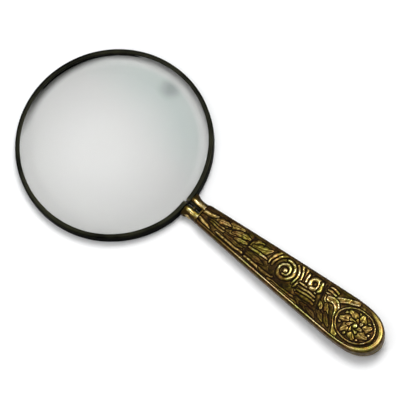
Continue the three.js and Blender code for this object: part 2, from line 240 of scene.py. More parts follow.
def soften(piece, grain, passes):
    """Remeshes a piece at a fine grain, in millimetres, and eases every edge of it."""
    remesh = piece.modifiers.new("remesh", "REMESH")
    remesh.mode = "VOXEL"
    remesh.voxel_size = grain * MM
    remesh.use_smooth_shade = True
    smooth = piece.modifiers.new("smooth", "SMOOTH")
    smooth.factor = 0.5
    smooth.iterations = passes
    apply_modifiers(piece)


def vertex_rows(mesh, name):
    """A vector kept at each vertex, such as co or normal, as rows of three."""
    values = np.empty(len(mesh.vertices) * 3)
    mesh.vertices.foreach_get(name, values)
    return values.reshape(-1, 3)


def store_layer(piece, name, values):
    """Stores one number for each vertex, for a material to read."""
    layer = piece.data.attributes.new(name, "FLOAT", "POINT")
    layer.data.foreach_set("value", values.astype(np.float32).ravel())


def mark_wear(piece, reach, gain, flat=0.5):
    """Stores the attribute wear: 0 in hollows, 1 on ridges and edges, flat elsewhere.

    A piece that carries the attribute height, from 0 to 1, is worn where it stands high.
    """
    mesh = piece.data
    count = len(mesh.vertices)
    place = vertex_rows(mesh, "co") / MM
    normal = vertex_rows(mesh, "normal")
    edges = np.empty(len(mesh.edges) * 2, np.int64)
    mesh.edges.foreach_get("vertices", edges)
    a, b = edges.reshape(-1, 2).T
    step = place[b] - place[a]
    length = np.maximum(np.linalg.norm(step, axis=1), 1e-4)
    links = np.bincount(a, minlength=count) + np.bincount(b, minlength=count)
    bend = np.bincount(a, -(normal[a] * step).sum(1) / length, count)
    bend += np.bincount(b, (normal[b] * step).sum(1) / length, count)
    bend /= np.maximum(links, 1)
    for _ in range(reach):
        spread = np.bincount(a, bend[b], count) + np.bincount(b, bend[a], count)
        bend = 0.4 * bend + 0.6 * spread / np.maximum(links, 1)
    edge = np.tanh(gain * bend)
    wear = flat + np.where(edge > 0, 1 - flat, flat) * edge
    if "height" in mesh.attributes:
        height = np.empty(count, np.float32)
        mesh.attributes["height"].data.foreach_get("value", height)
        wear = np.clip(0.1 + 0.62 * height + 0.3 * edge, 0, 1)
    store_layer(piece, "wear", wear)


# ---------------- node helpers


class Graph:
    """A node tree, with short ways to add nodes and to set or link what they take in."""

    def __init__(self, tree):
        self.nodes = tree.nodes
        self.links = tree.links

    def feed(self, socket, value):
        """Links a socket to an output, or sets it to a number, a vector or a colour."""
        if isinstance(value, bpy.types.NodeSocket):
            self.links.new(value, socket)
        elif socket.type == "RGBA":
            socket.default_value = (*value, 1)
        else:
            socket.default_value = value

    def node(self, kind, **inputs):
        """A new node, with inputs given by name."""
        node = self.nodes.new("ShaderNode" + kind)
        for name, value in inputs.items():
            self.feed(node.inputs[name.replace("_", " ")], value)
        return node

    def operate(self, kind, operation, a, b):
        node = self.node(kind)
        node.operation = operation
        self.feed(node.inputs[0], a)
        self.feed(node.inputs[1], b)
        return node.outputs

    def math(self, operation, a, b):
        return self.operate("Math", operation, a, b)[0]

    def stir(self, value, noise, amount):
        """The value plus a noise of the given amount about 0."""
        return self.math("ADD", value, self.math("MULTIPLY", self.math("SUBTRACT", noise, 0.5), amount))

    def ramp(self, source, stops):
        """stops are (position, colour or grey)."""
        node = self.node("ValToRGB", Fac=source)
        ramp = node.color_ramp
        while len(ramp.elements) < len(stops):
            ramp.elements.new(0.5)
        for element, (position, colour) in zip(ramp.elements, stops, strict=True):
            element.position = position
            grey = isinstance(colour, (int, float))
            element.color = (colour, colour, colour, 1) if grey else (*colour, 1)
        return node.outputs["Color"]

    def blend(self, share, a, b, way="MIX"):
        node = self.node("Mix")
        node.data_type = "RGBA"
        node.blend_type = way
        for index, value in ((0, share), (6, a), (7, b)):
            self.feed(node.inputs[index], value)
        return node.outputs[2]

    def choose(self, share, *shaders):
        """One shader, or two mixed by a share; with one, the share takes light away."""
        node = self.node("MixShader", Fac=share)
        for socket, shader in zip(node.inputs[1:], shaders):
            self.feed(socket, shader)
        return node.outputs["Shader"]


class Surface(Graph):
    """A new material with its Principled shader, in the scene's own coordinates."""

    def __init__(self, name):
        self.material = bpy.data.materials.new(name)
        self.material.use_nodes = True
        super().__init__(self.material.node_tree)
        self.shader = self.nodes["Principled BSDF"]
        self.place = self.node("TexCoord").outputs["Object"]

    def noise(self, scale, detail=4.0, roughness=0.55, stretch=None):
        place = self.place
        if stretch is not None:
            place = self.node("Mapping", Vector=place, Scale=stretch).outputs["Vector"]
        node = self.node("TexNoise", Vector=place, Scale=scale, Detail=detail, Roughness=roughness)
        return node.outputs["Fac"]

    def distance(self, centre):
        """Distance from a centre, as a share of the lens's radius."""
        gap = self.operate("VectorMath", "DISTANCE", self.place, centre)["Value"]
        return self.math("DIVIDE", gap, LENS_RADIUS * MM)

    def across(self, direction):
        """-1 to 1 over the lens, along a direction."""
        offset = self.operate("VectorMath", "SUBTRACT", self.place, GLASS.translation)["Vector"]
        dot = self.operate("VectorMath", "DOT_PRODUCT", offset, direction.normalized())["Value"]
        return self.math("DIVIDE", dot, LENS_RADIUS * MM)

    def attribute(self, name):
        node = self.node("Attribute")
        node.attribute_name = name
        return node.outputs["Fac"]

    def bump(self, height, strength, distance):
        node = self.node("Bump", Height=height, Strength=strength, Distance=distance)
        self.set(Normal=node.outputs["Normal"])

    def set(self, **values):
        for name, value in values.items():
            self.feed(self.shader.inputs[name.replace("_", " ")], value)


# ---------------- materials


def antique_brass():
    """Cast and chased brass: bright where hands rub it, brown and olive patina in the hollows."""
    s = Surface("antique_brass")
    worn = s.stir(s.attribute("wear"), s.noise(420, detail=6, roughness=0.7), 0.6)
    metal = s.ramp(
        worn,
        [
            (0.10, (0.010, 0.005, 0.002)),
            (0.30, (0.050, 0.027, 0.007)),
            (0.50, (0.17, 0.105, 0.026)),
            (0.70, (0.48, 0.335, 0.11)),
            (0.88, (0.96, 0.80, 0.45)),
        ],
    )
    olive = s.ramp(s.noise(150, detail=3), [(0.44, 0.0), (0.62, 1.0)])
    tinted = s.blend(s.math("MULTIPLY", olive, 0.7), metal, (0.66, 0.92, 0.34), "MULTIPLY")
    copper = s.ramp(s.noise(260, detail=2), [(0.52, 0.0), (0.66, 1.0)])
    colour = s.blend(s.math("MULTIPLY", copper, 0.6), tinted, (1.0, 0.60, 0.55), "MULTIPLY")
    rough = s.ramp(worn, [(0.2, 0.58), (0.55, 0.38), (0.85, 0.24)])
    s.set(
        Base_Color=colour,
        Roughness=s.stir(rough, s.noise(1500, detail=3), 0.16),
        Metallic=s.ramp(worn, [(0.15, 0.92), (0.5, 1.0)]),
    )
    pits = s.math("ADD", s.noise(1900, detail=4), s.math("MULTIPLY", s.noise(600, detail=2), 0.8))
    s.bump(pits, 0.35, 0.00016)
    return s.material


def blackened_brass():
    """Chemically blackened brass: nearly black, olive-grey where the edges are rubbed."""
    s = Surface("blackened_brass")
    streaks = s.noise(60, detail=6, stretch=(1.0, 1.0, 4.0))
    colour = s.ramp(
        s.stir(s.attribute("wear"), streaks, 0.8),
        [
            (0.3, (0.002, 0.002, 0.001)),
            (0.5, (0.004, 0.004, 0.003)),
            (0.75, (0.022, 0.022, 0.013)),
            (0.95, (0.11, 0.10, 0.055)),
        ],
    )
    rough = s.ramp(streaks, [(0.3, 0.26), (0.7, 0.44)])
    s.set(Base_Color=colour, Roughness=rough, Metallic=0.9)
    s.set(Specular_IOR_Level=0.12, Specular_Tint=(0.2, 0.2, 0.18))
    s.bump(s.noise(1400, detail=4), 0.16, 0.0001)
    return s.material


def screw_brass():
    """Turned brass, brighter than the handle, with fine turning marks."""
    s = Surface("screw_brass")
    stops = [(0.3, (0.10, 0.06, 0.02)), (0.6, (0.5, 0.36, 0.14)), (0.9, (0.9, 0.7, 0.36))]
    colour = s.ramp(s.attribute("wear"), stops)
    marks = s.noise(900, detail=3, stretch=(1.0, 6.0, 1.0))
    s.set(Base_Color=colour, Roughness=s.ramp(marks, [(0.3, 0.22), (0.7, 0.42)]), Metallic=1.0)
    s.bump(marks, 0.15, 0.0001)
    return s.material


def lens_glass():
    """Glass with a grey tint that paints the shade on the floor beneath it, greener towards one side,
    where it is painted lighter by the band.

    It has one painted shadow of the band, and painted shade under the band's lip on the far side.
    """
    s = Surface("lens_glass")
    sideways = s.stir(s.across(Vector((0.2, 1, 0))), s.noise(22), 0.5)
    green = s.ramp(sideways, [(0.25, 0.0), (0.75, 1.0)])
    # painted shade: a grey tint over the whole lens for the dimmer floor seen through it, greener
    # towards one side
    painted_shade_tint = s.blend(green, (0.625, 0.625, 0.617), (0.565, 0.605, 0.59))
    # painted shadow: a soft dark spot by the band on the +Y side, for the band's shadow on the floor
    # under the lens
    shadow_spot_radius = 7.5 / LENS_RADIUS
    shadow_spot_share = s.math("DIVIDE", s.distance(GLASS @ Vector((3, 40, 4))), shadow_spot_radius)
    painted_shadow_spot = s.ramp(shadow_spot_share, [(0.0, 0.95), (0.5, 0.57), (1.0, 0.0)])
    with_shadow_spot = s.blend(painted_shadow_spot, painted_shade_tint, (0.22, 0.25, 0.24))
    out = s.distance(GLASS @ Vector((0, 0, 3)))
    # painted light: a lighter ring by the band on the greener side, for the lit floor between the band
    # and its shadow
    rim = s.ramp(out, [(0.86, 0.0), (0.93, 1.0)])
    with_rim_light = s.blend(s.math("MULTIPLY", rim, green), with_shadow_spot, (0.76, 0.76, 0.75))
    # painted shade: darker under the band's lip on the far side
    lip_shade_side = s.ramp(s.across(Vector((-1.0, 0.12, 0))), [(0.74, 0.0), (0.95, 0.8)])
    painted_lip_shade = s.math("MULTIPLY", s.ramp(out, [(0.9, 0.0), (0.965, 1.0)]), lip_shade_side)
    colour = s.blend(painted_lip_shade, with_rim_light, (0.07, 0.07, 0.065))
    s.set(Base_Color=colour, Roughness=0.06, IOR=1.5, Transmission_Weight=1.0)
    shadow = s.node("LightPath").outputs["Is Shadow Ray"]
    clear = s.node("BsdfTransparent", Color=(0.96, 0.965, 0.96))
    either = s.choose(shadow, s.shader.outputs["BSDF"], clear.outputs["BSDF"])
    s.feed(s.nodes["Material Output"].inputs["Surface"], either)
    return s.material


def plain_matter(name, dark, light, roughness, metallic, scale):
    """A mottled material for the pieces inside."""
    s = Surface(name)
    mottle = s.noise(scale, detail=6)
    s.set(
        Base_Color=s.ramp(mottle, [(0.3, dark), (0.7, light)]),
        Roughness=s.ramp(mottle, [(0.3, roughness - 0.08), (0.7, roughness + 0.05)]),
        Metallic=metallic,
    )
    s.bump(s.noise(scale * 5, detail=4), 0.3, 0.0002)
    return s.material


BRASS = antique_brass()
BLACK = blackened_brass()
SCREW = screw_brass()
CLEAR = lens_glass()
STEEL = plain_matter("tang_steel", (0.22, 0.22, 0.23), (0.38, 0.38, 0.38), 0.4, 1.0, 300)
PACKING = plain_matter("packing", (0.02, 0.018, 0.015), (0.05, 0.045, 0.038), 0.88, 0.0, 400)
CEMENT = plain_matter("cement", (0.05, 0.037, 0.028), (0.11, 0.09, 0.07), 0.92, 0.0, 250)


def dress(piece, material):
    """Gives a piece one material and no other."""
    piece.data.materials.clear()
    piece.data.materials.append(material)


def finish_piece(piece, body, material, node):
    dress(piece, material)
    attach(piece, body)
    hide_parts(node)


# ---------------- lens


def build_lens():
    """Ground lens: two spherical faces, a fine bevel on each and a straight edge."""

    def face(crest, way):
        """(radius, z) from the axis to the bevel, on a spherical face with the given crest."""
        sag = way * crest - LENS_EDGE_HALF
        curve_radius = (LENS_RADIUS**2 + sag**2) / (2 * sag)
        radii = [(LENS_RADIUS - bevel) * i / rings for i in range(rings + 1)]
        depths = [curve_radius - math.sqrt(curve_radius**2 - r * r) for r in radii]
        return [(r, crest - way * depth) for r, depth in zip(radii, depths)]

    bevel = 0.25
    rings = 56
    profile = face(lens_high.z, 1)
    profile += [(LENS_RADIUS, LENS_EDGE_HALF - bevel), (LENS_RADIUS, -LENS_EDGE_HALF + bevel)]
    profile += reversed(face(lens_low.z, -1))
    lens = make_solid("lens_ground", *revolve(profile, around=240))
    finish_piece(lens, "glass", CLEAR, "lens")


def revolve(profile, around):
    """Points and faces of a profile of (radius, z) turned about Z; an end on the axis is one point."""
    points = []
    rows = []
    for r, z in profile:
        if r < 1e-9:
            rows.append([len(points)] * around)
            points.append((0, 0, z))
            continue
        rows.append(list(range(len(points), len(points) + around)))
        points += [(r * c, r * s, z) for c, s in circle(around)]
    faces = []
    for low, high in zip(rows, rows[1:]):
        for i in range(around):
            j = (i + 1) % around
            corners = [low[i], high[i], high[j], low[j]]
            faces.append(tuple(dict.fromkeys(corners)))
    return points, faces


build_lens()

# ---------------- band


def band_section():
    """Closed outline (radius, z) of the channel: rounded corners and rolled lips."""
    steps = 6
    corner = 0.75
    hollow = 0.06  # by which the wall is hollow from rolling
    roll = BAND_SHEET / 2
    inner = BAND_RADIUS - LIP_WIDTH
    outline = []

    def arc(centre_r, centre_z, radius, start, stop):
        for i in range(steps + 1):
            angle = math.radians(mix(start, stop, i / steps))
            turned = (centre_r + radius * math.cos(angle), centre_z + radius * math.sin(angle))
            outline.append(turned)

    arc(BAND_RADIUS - corner, -BAND_HALF + corner, corner, -90, 0)
    for share in (0.25, 0.5, 0.75):
        z = mix(-BAND_HALF + corner, BAND_HALF - corner, share)
        outline.append((BAND_RADIUS - hollow * math.sin(math.pi * share), z))
    arc(BAND_RADIUS - corner, BAND_HALF - corner, corner, 0, 90)
    arc(inner + roll, BAND_HALF - roll, roll, 90, 270)
    outline.append((BAND_RADIUS - BAND_SHEET, BAND_HALF - BAND_SHEET))
    outline.append((BAND_RADIUS - BAND_SHEET, -BAND_HALF + BAND_SHEET))
    arc(inner + roll, -BAND_HALF + roll, roll, 90, 270)
    return outline


def build_band():
    """The channel band, bent by hand: its lower end springs in a little at the split."""
    section = band_section()
    stations = 420
    spring_depth = 0.55
    spring_reach = 7
    first = math.asin(SPLIT_HALF / BAND_RADIUS)
    points = []
    for i in range(stations):
        angle = mix(first, 2 * math.pi - first, i / (stations - 1))
        from_low_end = (2 * math.pi - first - angle) * BAND_RADIUS
        spring = spring_depth * math.exp(-((from_low_end / spring_reach) ** 2))
        wobble = 0.05 * math.sin(3 * angle + 0.6) + 0.03 * math.sin(7 * angle)
        for r, z in section:
            lip = (BAND_RADIUS - r) / LIP_WIDTH
            radius = r - spring - lip * wobble
            points.append((radius * math.cos(angle), radius * math.sin(angle), z))
    band = make_solid("rim_band_rolled", points, tube_faces(stations, len(section)))
    mark_wear(band, reach=2, gain=5, flat=0.42)
    finish_piece(band, "glass", BLACK, "rim_band")


build_band()

# ---------------- neck: lugs, ferrule, screw

GAP = 0.25
CLEARANCE = 0.12
SCREW_X = (screw_low.x + screw_high.x) / 2
SCREW_HEAD_RADIUS = screw_high.z
SCREW_HEAD_TOP = screw_low.y
SCREW_END = screw_high.y
SCREW_RADIUS = 1.1
SCREW_HEAD_HEIGHT = 1.1
DRIVER_SLOT = 0.5  # width and depth
HEAD_SEAT = -4.6  # y of the recess's floor
BORE_END = SCREW_END + 0.65
THREAD_START = -3.4  # y where the thread begins, just inside the head
THREAD_PITCH = 0.5
THREAD_DEPTH = 0.14
MOUTH = BAND_RADIUS - 1  # x where the ferrule's body starts, inside the band's curve
SQUARENESS = 3
LOBE_CENTRE = 2.9  # y of the worn lobes on either side of the slot
SPIGOT_HALF_WIDTH = 4.4
SPIGOT_HALF_HEIGHT = 2.75
SPIGOT_END = ferrule_high.x
TANG_RADIUS = 1.8
TANG_BORE_START = 59.7
FAR = 15  # reach of a cutting tool that goes right through


def cylinder(radius, start, end, axis, centre=(0, 0, 0), around=64):
    """A cutting tool along X, Y or Z from start to end on that axis."""
    points = []
    for along in (start, end):
        for c, s in circle(around):
            a, b = radius * c, radius * s
            offset = {"X": (along, a, b), "Y": (a, along, b), "Z": (a, b, along)}[axis]
            points.append(tuple(np.add(centre, offset)))
    return make_solid("tool", points, tube_faces(2, around))


def block(low, high):
    """A box-shaped cutting tool."""
    points = list(itertools.product(*zip(low, high)))
    sides = [(0, 1, 3, 2), (4, 6, 7, 5), (0, 4, 5, 1), (2, 3, 7, 6), (0, 2, 6, 4), (1, 5, 7, 3)]
    return make_solid("tool", points, sides)


def build_lug(name, node, hole_radius):
    """A band end's lug: a plate with rounded corners, eased edges and the screw's hole."""
    low, high = own_box(node)
    corner = 1.2
    outline = [(low.x, low.z)]
    for centre_z, start in ((low.z + corner, -90), (high.z - corner, 0)):
        for i in range(9):
            angle = math.radians(start + 90 * i / 8)
            at = (high.x - corner + corner * math.cos(angle), centre_z + corner * math.sin(angle))
            outline.append(at)
    outline.append((low.x, high.z))
    points = [(x, y, z) for y in (low.y, high.y) for x, z in outline]
    lug = make_solid(name, points, tube_faces(2, len(outline)))
    cut_away(lug, cylinder(hole_radius, -FAR, FAR, "Y", (SCREW_X, 0, 0)))
    soften(lug, grain=0.08, passes=3)
    mark_wear(lug, reach=2, gain=5, flat=0.5)
    finish_piece(lug, "glass", BLACK, node)


def ferrule_half_sizes(x):
    """Half width and half height of the ferrule along its flare, waist and collar."""
    stations = [MOUTH, MOUTH + 2, MOUTH + 3.4, MOUTH + 5, MOUTH + 7.2, HANDLE_START - GAP]
    widths = [6.7, 6.62, 5.95, 5.45, 5.4, 5.65]
    heights = [4.15, 4.25, 4.1, 3.85, 3.8, 3.95]
    fine = np.linspace(stations[0], stations[-1], 81)
    smoothing = np.exp(-(np.linspace(-2, 2, 13) ** 2))
    smoothing /= smoothing.sum()

    def eased(values):
        line = np.interp(fine, stations, values)
        padded = np.pad(line, 6, mode="edge")
        return np.interp(x, fine, np.convolve(padded, smoothing, "valid"))

    return eased(widths), eased(heights)


def mark_lobes(ferrule):
    """Stores the attribute height on the ferrule: high on the two rubbed lobes of each face."""
    to_own = np.array(GLASS.inverted())
    x, y, z = (vertex_rows(ferrule.data, "co") @ to_own[:3, :3].T + to_own[:3, 3]).T
    on_lobe = np.exp(-((np.abs(y) - LOBE_CENTRE) ** 2)) * smooth_step(1.5, 3.0, np.abs(z))
    past_band = smooth_step(BAND_RADIUS + 0.6, BAND_RADIUS + 3, x)
    fall = 1 - 0.25 * smooth_step(BAND_RADIUS + 4, BAND_RADIUS + 8, x)
    uneven = 1 + 0.25 * ripple(x, y + z, 2.6, seed=12)
    height = 0.25 + 1.1 * on_lobe * past_band * fall * uneven
    store_layer(ferrule, "height", height)


def build_ferrule():
    """The brass mouth: two cheeks with a worn lobe each, slotted for the lugs."""
    body_end = HANDLE_START - GAP
    around = 120
    power = 2 / SQUARENESS
    body = [(x, *ferrule_half_sizes(x)) for x in np.linspace(MOUTH, body_end, 48)]
    spigot = [(x, SPIGOT_HALF_WIDTH, SPIGOT_HALF_HEIGHT) for x in (body_end + 0.02, SPIGOT_END)]
    points = []
    for x, half_w, half_h in body + spigot:
        sink = 0.17 * float(smooth_step(MOUTH + 8, MOUTH + 2, x))
        for c, s in circle(around):
            y = half_w * math.copysign(abs(c) ** power, c)
            z = half_h * math.copysign(abs(s) ** power, s)
            lobe = math.exp(-(((abs(y) - LOBE_CENTRE) / 1.2) ** 2))
            points.append((x, y, z * (1 - sink * (1 - lobe))))
    faces = tube_faces(len(body + spigot), around)
    ferrule = make_solid("neck_ferrule_cast", points, faces)
    slot_half = lug_high.y + GAP
    cut_away(ferrule, cylinder(BAND_RADIUS + GAP, -FAR, FAR, "Z", around=360))
    slot_end = lug_high.x + 3 * GAP
    cut_away(ferrule, block((BAND_RADIUS - 3, -slot_half, -FAR), (slot_end, slot_half, FAR)))
    hole = (SCREW_X, 0, 0)
    cut_away(ferrule, cylinder(SCREW_RADIUS + CLEARANCE, -FAR, BORE_END, "Y", hole))
    cut_away(ferrule, cylinder(SCREW_HEAD_RADIUS + GAP, -FAR, HEAD_SEAT, "Y", hole))
    cut_away(ferrule, cylinder(TANG_RADIUS + GAP, TANG_BORE_START, SPIGOT_END + 5, "X"))
    soften(ferrule, grain=0.1, passes=4)
    mark_lobes(ferrule)
    mark_wear(ferrule, reach=3, gain=6)
    finish_piece(ferrule, "glass", BRASS, "neck_ferrule")


def build_screw():
    """Slotted cheese-head screw with a domed head and a fine thread."""
    seat = SCREW_HEAD_TOP + SCREW_HEAD_HEIGHT
    rounding = 0.35
    chamfer = 0.08
    profile = [(0.0, SCREW_HEAD_TOP)]
    for i in range(9):
        angle = math.radians(90 * i / 8)
        r = SCREW_HEAD_RADIUS - rounding + rounding * math.sin(angle)
        profile.append((r, SCREW_HEAD_TOP + chamfer + rounding * (1 - math.cos(angle))))
    profile += [(SCREW_HEAD_RADIUS, seat - chamfer), (SCREW_HEAD_RADIUS - chamfer, seat)]
    profile.append((SCREW_RADIUS, seat))
    turns = np.arange(THREAD_START, SCREW_END - rounding, THREAD_PITCH / 8)
    profile += [(SCREW_RADIUS, float(y)) for y in turns]
    profile += [(SCREW_RADIUS - 0.3, SCREW_END), (0.0, SCREW_END)]
    points, faces = revolve(profile, around=72)
    screw_points = []
    for x, y, along in points:
        angle = math.atan2(y, x)
        wave = math.cos(2 * math.pi * (along / THREAD_PITCH) - angle)
        on_thread = THREAD_START < along < SCREW_END - rounding
        shrink = 1 - THREAD_DEPTH / 2 * (1 - wave) / SCREW_RADIUS if on_thread else 1
        screw_points.append((SCREW_X + x * shrink, along, y * shrink))
    screw = make_solid("closing_screw_slotted", screw_points, faces)
    reach = 2 * SCREW_HEAD_RADIUS
    half = DRIVER_SLOT / 2
    low = (SCREW_X - reach, SCREW_HEAD_TOP - 1, -half)
    high = (SCREW_X + reach, SCREW_HEAD_TOP + DRIVER_SLOT, half)
    cut_away(screw, block(low, high))
    soften(screw, grain=0.05, passes=2)
    mark_wear(screw, reach=2, gain=5, flat=0.55)
    finish_piece(screw, "screw", SCREW, "closing_screw")


build_lug("rim_lug_upper_plate", "rim_lug_upper", SCREW_RADIUS + CLEARANCE)
build_lug("rim_lug_lower_plate", "rim_lug_lower", SCREW_RADIUS + GAP)
build_ferrule()
build_screw()

# ---------------- handle: plan and crown

SIDE_STATIONS = 430  # points along each tapered side of a shell
END_STATIONS = 90  # from there to the handle's tip


def eased_mouth(x):
    """How far the shells' rounded mouth falls back from their straight taper."""
    return 0.3 * np.exp(-(((x - HANDLE_START) / 0.7) ** 2))


def taper_share(x):
    return np.clip((x - HANDLE_START) / (ROUND_START - HANDLE_START), 0, 1)


def half_width(x):
    along = taper_share(x)
    taper = mix(NECK_HALF_WIDTH, END_HALF_WIDTH, along) + 0.25 * np.sin(np.pi * along)
    past = np.clip((x - ROUND_START) / (HANDLE_END - ROUND_START), 0, 1)
    return (taper - eased_mouth(x)) * np.sqrt(np.maximum(1 - past**END_ROUNDNESS, 0))


def half_thickness(x):
    return mix(NECK_HALF_THICKNESS, END_HALF_THICKNESS, taper_share(x)) - eased_mouth(x)


def crown(x, distance, spine_distance):
    """Height of the plain shell at a distance inside its outline."""
    thickness = half_thickness(x)
    wall_top = WALL_SHARE * thickness
    shoulder_top = SHOULDER_SHARE * thickness
    left = np.clip(1 - distance / SHOULDER, 0, 1)
    shoulder = wall_top + (shoulder_top - wall_top) * np.sqrt(1 - left**2)
    rest = 1 - (distance - SHOULDER) / np.maximum(spine_distance - SHOULDER, 1e-3)
    field = shoulder_top + (thickness - shoulder_top) * (1 - np.clip(rest, 0, 1) ** 2)
    return np.where(distance < SHOULDER, shoulder, field)


def plan_grid(rings):
    """Arrays (station, ring) of x, y, distance from the outline and the spine's distance."""
    spine_reach = 0.55  # how far the spine runs on into the rounded end
    crowding = 1.08  # above 1, the rings lie closer near the outline
    side = np.arange(SIDE_STATIONS) / SIDE_STATIONS
    taper = HANDLE_START + (ROUND_START - HANDLE_START) * side
    angle = np.linspace(0, np.pi / 2, END_STATIONS + 1)
    end = ROUND_START + (HANDLE_END - ROUND_START) * np.sin(angle)
    x = np.concatenate([taper, end])
    y = half_width(x)
    y[-1] = 0
    spine = np.where(x > ROUND_START, mix(ROUND_START, x, spine_reach), x)
    x = np.concatenate([x, x[-2::-1]])
    y = np.concatenate([y, -y[-2::-1]])
    spine = np.concatenate([spine, spine[-2::-1]])
    share = np.linspace(0, 1, rings) ** crowding
    grid_x = x[:, None] + (spine - x)[:, None] * share
    grid_y = y[:, None] * (1 - share)
    spine_distance = np.hypot(x - spine, y)[:, None] * np.ones(rings)
    return grid_x, grid_y, spine_distance * share, spine_distance


# ---------------- handle: relief


class Relief:
    """Heights from 0, the ground, to 1, the highest chasing, over points of the plan."""

    def __init__(self, x, y, ground=0.0):
        self.x = x.ravel()
        self.y = y.ravel()
        self.height = np.full(self.x.shape, ground)

    def near(self, path, reach):
        """Points within reach of a path: their index, distance, side and share along it."""
        path = np.asarray(path, float)
        low = path.min(0) - reach
        high = path.max(0) + reach
        inside = (self.x > low[0]) & (self.x < high[0]) & (self.y > low[1]) & (self.y < high[1])
        index = np.nonzero(inside)[0]
        start = path[:-1]
        step = path[1:] - start
        length = np.maximum(np.hypot(*step.T), 1e-9)
        dx = self.x[index, None] - start[:, 0]
        dy = self.y[index, None] - start[:, 1]
        t = np.clip((dx * step[:, 0] + dy * step[:, 1]) / length**2, 0, 1)
        off_x = dx - t * step[:, 0]
        off_y = dy - t * step[:, 1]
        distance = np.hypot(off_x, off_y)
        best = distance.argmin(1)
        row = np.arange(len(index))
        run = np.concatenate([[0], np.cumsum(length)])
        share = (run[best] + t[row, best] * length[best]) / run[-1]
        side = np.sign(step[best, 0] * off_y[row, best] - step[best, 1] * off_x[row, best])
        return index, distance[row, best], side, share

    def lay(self, index, gap, value):
        """Lays a form over what is there; gap is the distance outside its edge, moated round."""
        moat = MOAT_DEPTH * np.exp(-(((gap - 0.15) / MOAT_WIDTH) ** 2))
        under = self.height[index] * (1 - moat)
        self.height[index] = mix(under, value, smooth_step(0.12, -0.12, gap))

    def rib(self, path, width, height, thin=(1.0, 1.0)):
        """A rounded rib; thin scales its width at the path's two ends."""
        index, distance, _, share = self.near(path, width)
        swell = np.sin(np.pi * np.clip(share, 0, 1)) ** 0.6
        ends = mix(thin[0], thin[1], share)
        half = 0.55 * width * mix(ends, 1.0, swell)
        bulge = np.cos(0.5 * np.pi * np.clip(distance / half, 0, 1))
        fall = mix(0.75 + 0.25 * ends, 1.0, swell)
        self.lay(index, distance - half, height * fall * mix(FORM_EDGE, 1.0, bulge))

    def strap(self, path, width, height):
        """A flat band with a raised edge on both sides."""
        index, distance, _, _ = self.near(path, width)
        r = distance / (0.5 * width)
        edge = np.exp(-(((r - 0.66) / 0.24) ** 2))
        self.lay(index, distance - 0.55 * width, height * (0.74 + 0.26 * edge))

    def groove(self, path, width, depth):
        index, distance, _, _ = self.near(path, width)
        dip = np.exp(-((distance / (0.36 * width)) ** 2))
        self.height[index] = self.height[index] * (1 - dip * depth)

    def disc(self, centre, radius, height):
        distance = np.hypot(self.x - centre[0], self.y - centre[1])
        index = np.nonzero(distance < radius + 1)[0]
        dome = np.sqrt(np.clip(1 - (distance[index] / radius) ** 2, 0, 1))
        self.lay(index, distance[index] - radius, height * mix(FORM_EDGE, 1.0, dome))

    def pit(self, centre, radius, depth=1.0):
        r = np.hypot(self.x - centre[0], self.y - centre[1]) / radius
        self.height *= 1 - depth * np.exp(-(r**2) * 1.6)

    def matting(self, pitch, height, seed):
        """Punched ground: small domes, longish and turned at random, on a jittered grid."""
        cells = 64
        table = np.random.default_rng(seed).random((4, cells, cells))
        column = np.floor(self.x / pitch).astype(int)
        row = np.floor(self.y / pitch).astype(int)
        for i in (-1, 0, 1):
            for j in (-1, 0, 1):
                cell = table[:, (column + i) % cells, (row + j) % cells]
                jitter_x, jitter_y, turn, level = cell
                dx = self.x / pitch - (column + i + 0.2 + 0.6 * jitter_x)
                dy = self.y / pitch - (row + j + 0.2 + 0.6 * jitter_y)
                angle = np.pi * turn
                along = dx * np.cos(angle) + dy * np.sin(angle)
                across = dy * np.cos(angle) - dx * np.sin(angle)
                dome = np.sqrt(np.clip(1 - (along / 0.85) ** 2 - (across / 0.5) ** 2, 0, 1))
                self.height = np.maximum(self.height, height * (0.5 + 0.5 * level) * dome)

    def leaf(self, base, tip, width, height, curl, lobes):
        """A chased leaf from base to tip: a midrib groove, and side veins between its lobes."""
        base = np.asarray(base, float)
        tip = np.asarray(tip, float)
        run_x, run_y = tip - base
        middle = (base + tip) / 2 + np.array([-run_y, run_x]) * curl
        path = curve(0, base, middle, tip, steps=14)
        index, distance, side, share = self.near(path, width)
        lobe = 1 - 0.2 * np.abs(np.sin(np.pi * lobes * share)) ** 3
        half = 0.5 * width * np.sin(np.pi * np.clip(share, 0.02, 0.99) ** 0.75) ** 0.6 * lobe
        r = distance / half
        dome = np.clip(1 - r**2, 0, 1) ** 0.75
        midrib = 1 - 0.3 * np.exp(-((distance / (0.07 * width)) ** 2))
        veins = 1 - 0.16 * np.cos(np.pi * (lobes * share - 0.55 * r)) ** 8
        tip_lift = mix(0.7, 1.0, share)
        value = height * mix(FORM_EDGE, 1.0, dome) * midrib * veins * tip_lift
        self.lay(index, distance - half, value)

    def leaves(self, start, rows, lobes):
        """Leaves from rows of base, tip, width, height and curl; x counts from start."""
        for base, tip, *shape in rows:
            self.leaf((start + base[0], base[1]), (start + tip[0], tip[1]), *shape, lobes)


def curve(start, *points, steps=24):
    """Points on a Bezier curve with three or four control points; their x counts from start."""
    a, b, c, *last = (np.array((start + x, y)) for x, y in points)
    t = np.linspace(0, 1, steps + 1)[:, None]
    if not last:
        return a * (1 - t) ** 2 + 2 * b * t * (1 - t) + c * t**2
    return a * (1 - t) ** 3 + 3 * b * t * (1 - t) ** 2 + 3 * c * t**2 * (1 - t) + last[0] * t**3


def arc_path(centre, radius, start, stop, end_radius=None, steps=40):
    """Points on an arc, or on a spiral when end_radius differs; angles in degrees."""
    t = np.linspace(0, 1, steps + 1)
    angle = np.radians(mix(start, stop, t))
    r = mix(radius, radius if end_radius is None else end_radius, t)
    return np.stack([centre[0] + r * np.cos(angle), centre[1] + r * np.sin(angle)], 1)


